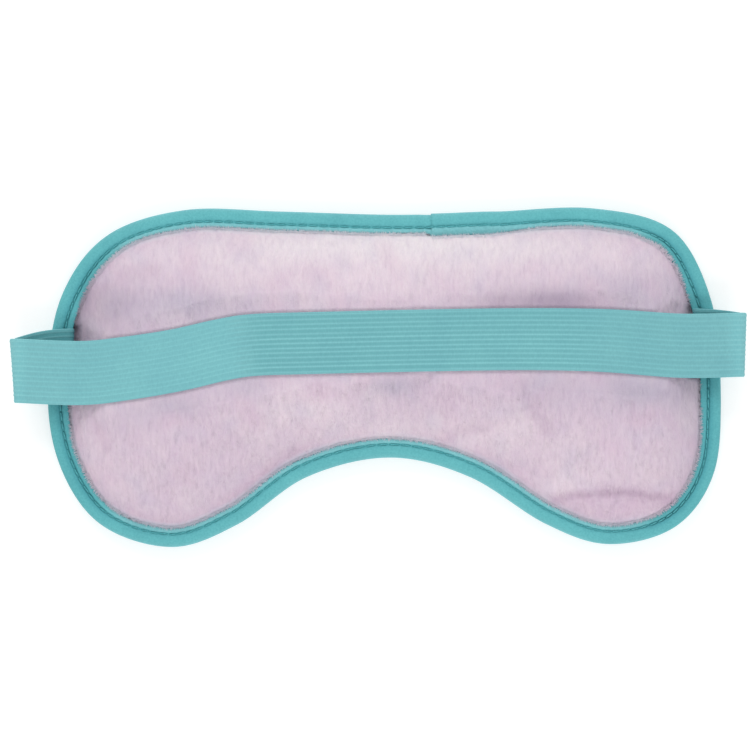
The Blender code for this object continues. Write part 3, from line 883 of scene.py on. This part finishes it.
def upper_corner(points):
    """From 0 to 1, how near each plan point lies to the two upper corners, where the tape is wider."""
    return smooth_step(np.abs(points[:, 0]), 76, 90) * smooth_step(points[:, 1], 14, 30)


def seam_inset(points):
    """How far in the seam runs, at plan points of the edge."""
    return THREAD_INSET + CORNER_SEAM * upper_corner(points)


def lip_inset(along):
    """How far in the tape's inner edge lies, at distances along the edge."""
    line = np.column_stack([along, 0 * along])
    over = np.where(along < LAP_LENGTH, EDGE_LENGTH + along, along)
    edge = ring_at(along)[0]
    pulled_in = LIP_PULL * (1 - smooth_step(np.abs(edge[:, 0]), 75, 98))
    uneven = 0.20 * noise_at(line, 11.0, 4.0) + 0.12 * noise_at(line, 3.5, 8.0)
    return LIP - pulled_in + CORNER_WIDER * upper_corner(edge) + tape_lap(over)[2] + uneven


def tape_columns():
    """Places across the folded tape, inner edge below to inner edge above, as (part, value)."""
    below = [("lower", share) for share in np.linspace(1, 0, TAPE_STEPS)[:-1]]
    turn = [("fold", angle) for angle in np.linspace(-math.pi / 2, math.pi / 2, FOLD_STEPS)]
    return below + turn + [("upper", share) for share in np.linspace(0, 1, TAPE_STEPS)[1:]]


def make_binding():
    along = np.arange(0, EDGE_LENGTH + LAP_LENGTH, EDGE_LENGTH / EDGE_STATIONS)
    line = np.column_stack([along, 0 * along])
    edge, normals = ring_at(along)
    stand_off, tuck, _ = tape_lap(along)
    slack = 1 - np.abs(np.cos(math.pi * along / STITCH_PITCH)) ** 3
    lip = lip_inset(along) - np.where(along < LAP_LENGTH, 0.3, 0)
    seam_at = seam_inset(edge)
    low = TAPE_BOTTOM - stand_off + tuck
    high = TAPE_TOP + strap_rise_at(edge) + stand_off - tuck
    half, middle = (high - low) / 2, (high + low) / 2
    # How near each station lies to the pad's two short ends, where the tape takes painted shade and a
    # deeper seam groove.
    ends = smooth_step(np.abs(edge[:, 0]), 80, 97)
    columns, pale = [], []
    for part, value in tape_columns():
        if part == "fold":
            bulge = math.copysign(abs(math.sin(value)) ** 0.85, value)
            columns.append((TAPE_TURN * (1 - math.cos(value) ** 0.85), middle + half * bulge))
            # The outermost turn of the edge is paler, and the two short ends darker as painted shade.
            pale.append(0.5 + 0.3 * math.cos(value) ** 2 - 0.16 * ends)
            continue
        inset = TAPE_TURN + (lip - TAPE_TURN) * value
        groove = np.exp(-((inset - seam_at) / 0.42) ** 2) * (0.18 + 0.12 * slack + 0.4 * ends)
        before_seam = np.clip((inset - TAPE_TURN) / (seam_at - TAPE_TURN), 0, 1)
        past_seam = np.clip((inset - seam_at) / (lip - seam_at), 0, 1)
        puff = 0.20 * np.sin(before_seam * math.pi) * (0.8 + 0.4 * slack)
        roll = 0.14 * np.sin(past_seam * math.pi)
        curl = -0.22 * np.clip((inset - lip + 0.35) / 0.35, 0, 1) ** 2
        height = puff - groove + roll + curl + 0.05 * noise_at(line + (0, 3 * value), 2.6, 2.0)
        columns.append((inset, high + height if part == "upper" else low - 0.5 * height))
        # Painted shade along the seam, painted highlight on the lip past it, and painted shade over
        # the two short ends.
        seam = np.exp(-((inset - seam_at + 0.3) / 1.1) ** 2)
        on_lip = smooth_step(inset, seam_at + 0.1, seam_at + 0.7)
        dark = (0.18 + 0.42 * ends) * seam * (1 - on_lip) + 0.16 * ends
        pale.append(0.5 + on_lip * (0.38 - 0.55 * ends) - dark)
    points = [np.column_stack([edge + normals * (np.asarray(inset) - stand_off + tuck)[:, None], z])
              for inset, z in columns]
    tape = mesh_object("binding_tape", np.stack(points, axis=1).reshape(-1, 3),
                       grid_faces(len(along), len(columns)), SURFACES["tape"])
    layer = tape.data.attributes.new("pale", "FLOAT", "POINT")
    layer.data.foreach_set("value", np.stack(pale, axis=1).ravel())
    solid = tape.modifiers.new("thickness", "SOLIDIFY")
    solid.thickness = TAPE * MM
    solid.offset = 1
    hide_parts("edge_binding")
    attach(tape, "pad")


# ---- stitches ----

def tube(path, radii, sides):
    """Points of a tube along a path, ring by ring."""
    tangents = np.gradient(path, axis=0)
    tangents /= np.linalg.norm(tangents, axis=1)[:, None]
    up = np.array((0, 0, 1.0))
    across = np.cross(tangents, up)
    across /= np.linalg.norm(across, axis=1)[:, None]
    over = np.cross(across, tangents)
    turn = np.arange(sides) * 2 * math.pi / sides
    ring = np.cos(turn)[None, :, None] * across[:, None] + np.sin(turn)[None, :, None] * over[:, None]
    return (path[:, None] + ring * np.asarray(radii)[:, None, None]).reshape(-1, 3)


def make_stitches(name, upper, node):
    """One row of arched threads round the tape, above or below it."""
    count = int(EDGE_LENGTH / STITCH_PITCH)
    pitch = EDGE_LENGTH / count
    parts, faces, offset = [], [], 0
    share = np.linspace(0, 1, 9)
    radii = STITCH_RADIUS * np.array([0.7, 0.9, 1, 1, 1, 1, 1, 0.9, 0.7])
    sides = 8
    draw = np.random.default_rng(3)
    for i in range(count):
        along = (i + draw.uniform(0.01, 0.09) + draw.uniform(0.88, 0.93) * share) * pitch
        edge, normals = ring_at(along)
        lap = LAP_STAND_OFF * np.where(along < LAP_LENGTH, 1.0,
                                       smooth_step(along, EDGE_LENGTH - 10, EDGE_LENGTH - 1))
        rise = strap_rise_at(edge)
        slant = (share - 0.5) * draw.uniform(0.05, 0.3)
        plan = edge + normals * (seam_inset(edge) + draw.normal(0, 0.06) + slant)[:, None]
        arch = 0.34 * np.sin(share * math.pi) ** 0.3 - 0.30
        z = TAPE_TOP + rise + lap + arch if upper else TAPE_BOTTOM - lap - arch * 0.6
        parts.append(tube(np.column_stack([plan, z]), radii, sides))
        quads = grid_faces(len(share), sides, closed=True) + offset
        faces += quads.tolist()
        faces.append([offset + k for k in range(sides)][::-1])
        faces.append([offset + (len(share) - 1) * sides + k for k in range(sides)])
        offset += len(share) * sides
    thread = mesh_object(name, np.vstack(parts), faces, SURFACES["thread"])
    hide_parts(node)
    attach(thread, "pad")


# ---- strap ----

def lower_tilt(end):
    (x0, y0), (x1, y1) = end["fold"], end["bend"]
    return math.atan((y1 - y0) / (x1 - x0))


def lower_y(end, x):
    return end["fold"][1] + (x - end["fold"][0]) * math.tan(lower_tilt(end))


def station(x, y, z, tilt, direction):
    """One place of the strap: its middle, its tilt in plan, and half its length along that tilt."""
    return (x, y, z, tilt, STRAP_WIDTH / 2 / math.cos(tilt - direction))


def lower_leg(side):
    """From the end under the tape, round the fold, out over the tape to the outer bend."""
    end = STRAP_ENDS[side]
    radius = (STRAP_OVER - STRAP_TUCK) / 2
    tilt, fold_tilt = lower_tilt(end), end["fold_tilt"]
    fold_x, fold_y = end["fold"]
    path = [station(fold_x + side * away, fold_y, STRAP_TUCK, fold_tilt, tilt)
            for away in np.linspace(TUCK_LENGTH, 0, 5)]
    for angle in np.linspace(0, math.pi, 17)[1:-1]:
        path.append(station(fold_x - side * radius * math.sin(angle), fold_y,
                            (STRAP_TUCK + STRAP_OVER) / 2 - radius * math.cos(angle),
                            fold_tilt, tilt))
    bend_start = end["bend"][0] - side * BEND_RADIUS
    for part in np.linspace(0, 1, 17):
        x = fold_x + (bend_start - fold_x) * part
        askew = fold_tilt + (tilt - fold_tilt) * part
        bow = LOWER_LEG_BOW * math.sin(math.pi * part) * (1 if side < 0 else RIGHT_BOW_SHARE)
        path.append(station(x, lower_y(end, x) + bow, STRAP_OVER, askew, tilt))
    return path


def outer_bend(side):
    """The soft half turn beyond the pad."""
    end = STRAP_ENDS[side]
    path = []
    for share in np.linspace(0, 1, 25)[1:-1]:
        angle = math.pi * share
        x = end["bend"][0] - side * BEND_RADIUS * (1 - math.sin(angle))
        z = STRAP_OVER + BEND_RADIUS * (1 - math.cos(angle))
        tilt = lower_tilt(end) + (end["bend_tilt"] - lower_tilt(end)) * share
        path.append(station(x, lower_y(end, end["bend"][0]), z, tilt, tilt))
    return path


def upper_leg_height(x):
    start = abs(STRAP_ENDS[-1 if x < 0 else 1]["bend"][0])
    low = STRAP_OVER + 2 * BEND_RADIUS
    return low + (STRAP_ON_CROWN - low) * smooth_step(abs(x), start, CROWN_REACH)


def upper_leg():
    """From the left bend over the pad to the right one."""
    left, right = STRAP_ENDS[-1]["bend"], STRAP_ENDS[1]["bend"]
    knots = [(left[0] + BEND_RADIUS, left[1]), *ROUTE, (right[0] - BEND_RADIUS, right[1])]
    curve = smooth_curve(knots, False, 26)
    slope = np.gradient(curve, axis=0)
    stations = []
    for (x, y), (dx, dy) in zip(curve, slope):
        tilt = math.atan2(dy, dx)
        place = station(x, y, upper_leg_height(x), tilt, tilt)
        narrower = 1 - (1 - STRAP_STRETCHED) * (1 - smooth_step(abs(x), 45, 105))
        stations.append((*place[:4], place[4] * narrower))
    return stations


def strap_path():
    """Stations (x, y, z, tilt, half width) of the strap's middle line, left end to right end."""
    left = lower_leg(-1) + outer_bend(-1)
    right = lower_leg(1) + outer_bend(1)
    return np.array(left + upper_leg() + right[::-1])


def strap_section():
    """Places across the elastic, with its height there and how much of a rib each one is."""
    across = np.linspace(-1, 1, RIBS * 10 + 1)
    number = np.clip(((across + 1) / 2 * RIBS).astype(int), 0, RIBS - 1)
    phase = (across + 1) / 2 * RIBS - number
    draw = np.random.default_rng(8)
    middle = draw.uniform(0.42, 0.58, RIBS)[number]
    strength = draw.uniform(0.55, 1.0, RIBS)[number]
    rib = strength * np.exp(-((phase - middle) / 0.17) ** 2)
    selvedge = np.clip((np.abs(across) - 0.955) / 0.045, 0, 1)
    edge = np.sqrt(np.clip(1 - selvedge ** 2, 0, 1))
    height = (STRAP / 2 - RIB_HEIGHT * (1 - rib)) * (0.2 + 0.8 * edge)
    # The edges count as full ribs, which gives them a painted highlight.
    return across, height, np.maximum(rib, selvedge)


def make_ribbon(name, stations):
    """A closed ribbed band along stations of the strap."""
    places = stations[:, :3]
    tilt, half = stations[:, 3], stations[:, 4]
    wide = np.column_stack([-np.sin(tilt), np.cos(tilt), np.zeros(len(tilt))])
    forward = np.gradient(places, axis=0)
    forward /= np.linalg.norm(forward, axis=1)[:, None]
    normal = np.cross(forward, wide)
    normal /= np.linalg.norm(normal, axis=1)[:, None]
    across, height, rib = strap_section()
    spread = wide[:, None] * (half[:, None] * across)[..., None]
    lift = normal[:, None] * height[None, :, None]
    top, bottom = places[:, None] + spread + lift, places[:, None] + spread - lift
    section = np.concatenate([top, bottom[:, ::-1]], axis=1)
    rows, columns = section.shape[:2]
    faces = grid_faces(rows, columns, closed=True).tolist()
    faces.append(list(range(columns)))
    faces.append([(rows - 1) * columns + k for k in range(columns)][::-1])
    band = mesh_object(name, section.reshape(-1, 3), faces, SURFACES["elastic"])
    layer = band.data.attributes.new("rib", "FLOAT", "POINT")
    # Painted light and shade along the strap: its level, and how strongly the ribs' painted highlights
    # and shade stand out.
    level = np.interp(places[:, 0], *zip(*RIB_PAINTED_LIGHT))
    contrast = np.interp(places[:, 0], *zip(*RIB_CONTRAST))
    face = level[:, None] + contrast[:, None] * (rib - rib.mean())
    # The other face, seen only inside the loops, is painted darker as painted shade.
    back = np.tile(0.42 * rib[::-1], (rows, 1))
    layer.data.foreach_set("value", np.concatenate([face, back], axis=1).ravel())
    ends = {tuple(sorted(key)) for face in faces[-2:] for key in zip(face, face[1:] + face[:1])}
    for edge in band.data.edges:
        edge.use_edge_sharp = tuple(sorted(edge.vertices)) in ends
    return band


def path_between(path, start, end, step):
    """The strap's stations at even steps between two lengths along it."""
    along = lengths_along(path[:, :3])
    places = np.linspace(start, end, max(int((end - start) / step), 2))
    return np.column_stack([np.interp(places, along, path[:, k]) for k in range(5)])


def make_strap():
    """Four ribbons, cut where the strap's two joints change how it moves."""
    path = strap_path()
    along = lengths_along(path[:, :3])
    left_turn, right_turn = np.argmin(path[:, 0]), np.argmax(path[:, 0])
    upper = np.arange(left_turn, right_turn)

    def at(x):
        return along[upper[np.argmin(np.abs(path[upper, 0] - x))]]

    left, middle, right = at(-CROWN_REACH), at(0), at(CROWN_REACH)
    pieces = {
        "strap_left": (0, left, STRAP_STATION / 2),
        "strap_left_half": (left, middle, STRAP_STATION),
        "strap_right_half": (middle, right, STRAP_STATION),
        "strap_right": (right, along[-1], STRAP_STATION / 2),
    }
    made = {name: make_ribbon(name, path_between(path, *place)) for name, place in pieces.items()}
    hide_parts("strap_end_left", "strap_loop_left", "strap_shoulder_left")
    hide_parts("strap_end_right", "strap_loop_right", "strap_shoulder_right")
    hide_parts("strap_span")
    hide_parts("strap_span")
    for name in ("strap_left", "strap_right"):
        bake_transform(made[name])
    reach = CROWN_REACH * MM
    for name, start in (("strap_left_half", -reach), ("strap_right_half", reach)):
        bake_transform(made[name])


# ---- inner parts ----

def finish_inner_parts():
    surfaces = {"pouch_rear_film": "film", "pouch_front_film": "film", "bead_filling": "beads"}
    for node, surface in surfaces.items():
        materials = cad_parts[node].data.materials
        materials.clear()
        materials.append(SURFACES[surface])


# ---- floor, light and camera ----

def make_floor():
    corners = [(-1, -1), (1, -1), (1, 1), (-1, 1)]
    points = [(FLOOR_REACH * x, FLOOR_REACH * y, FLOOR_HEIGHT) for x, y in corners]
    floor = mesh_object("floor", points, [(0, 1, 2, 3)], floor_material())


def area_light(name, place, size, power):
    """A soft light aimed at the pad."""
    lamp = bpy.data.lights.new(name, "AREA")
    lamp.shape = "RECTANGLE"
    lamp.size, lamp.size_y = size
    lamp.energy = power
    holder = bpy.data.objects.new(name, lamp)
    holder.location = place
    holder.rotation_euler = (-Vector(place)).to_track_quat("-Z", "Y").to_euler()
    bpy.context.scene.collection.objects.link(holder)


def make_light():
    world = bpy.data.worlds.new("studio")
    world.use_nodes = True
    background = world.node_tree.nodes["Background"]
    background.inputs["Color"].default_value = (1.0, 1.0, 1.0, 1)
    background.inputs["Strength"].default_value = 0.62
    bpy.context.scene.world = world
    area_light("key_light", (-0.15, 0.85, 0.65), (0.8, 0.4), 4.7)
    area_light("fill_light", (0.1, -0.8, 0.7), (0.8, 0.4), 4.3)


def make_camera():
    """Straight above, with the width of the frame about as wide as the strap's bends."""
    lens, sensor, width = 110.0, 36.0, 0.2344
    camera = bpy.data.cameras.new("camera")
    camera.lens = lens
    camera.sensor_width = sensor
    holder = bpy.data.objects.new("camera", camera)
    holder.location = (-0.0006, 0.0007, 0.008 + width * lens / sensor)
    bpy.context.scene.collection.objects.link(holder)
    bpy.context.scene.camera = holder
    bpy.context.scene.view_settings.view_transform = "Standard"


SURFACES = {
    "plush": plush_material(), "tape": tape_material(), "thread": thread_material(),
    "elastic": elastic_material(), "satin": satin_material(), "film": film_material(),
    "beads": bead_material(), "pile": pile_material(),
}
UPPER_LEG = np.array(upper_leg())
make_camera()
make_light()
make_floor()
make_rear_cover()
make_front_cover()
make_tufts("pile_over_tape", 11, 9000, edge_hairs)
make_tufts("pile_on_pad", 5, 5000, pad_hairs)
make_binding()
make_stitches("needle_stitches", True, "binding_needle_thread")
make_stitches("bobbin_stitches", False, "binding_bobbin_thread")
make_strap()
finish_inner_parts()
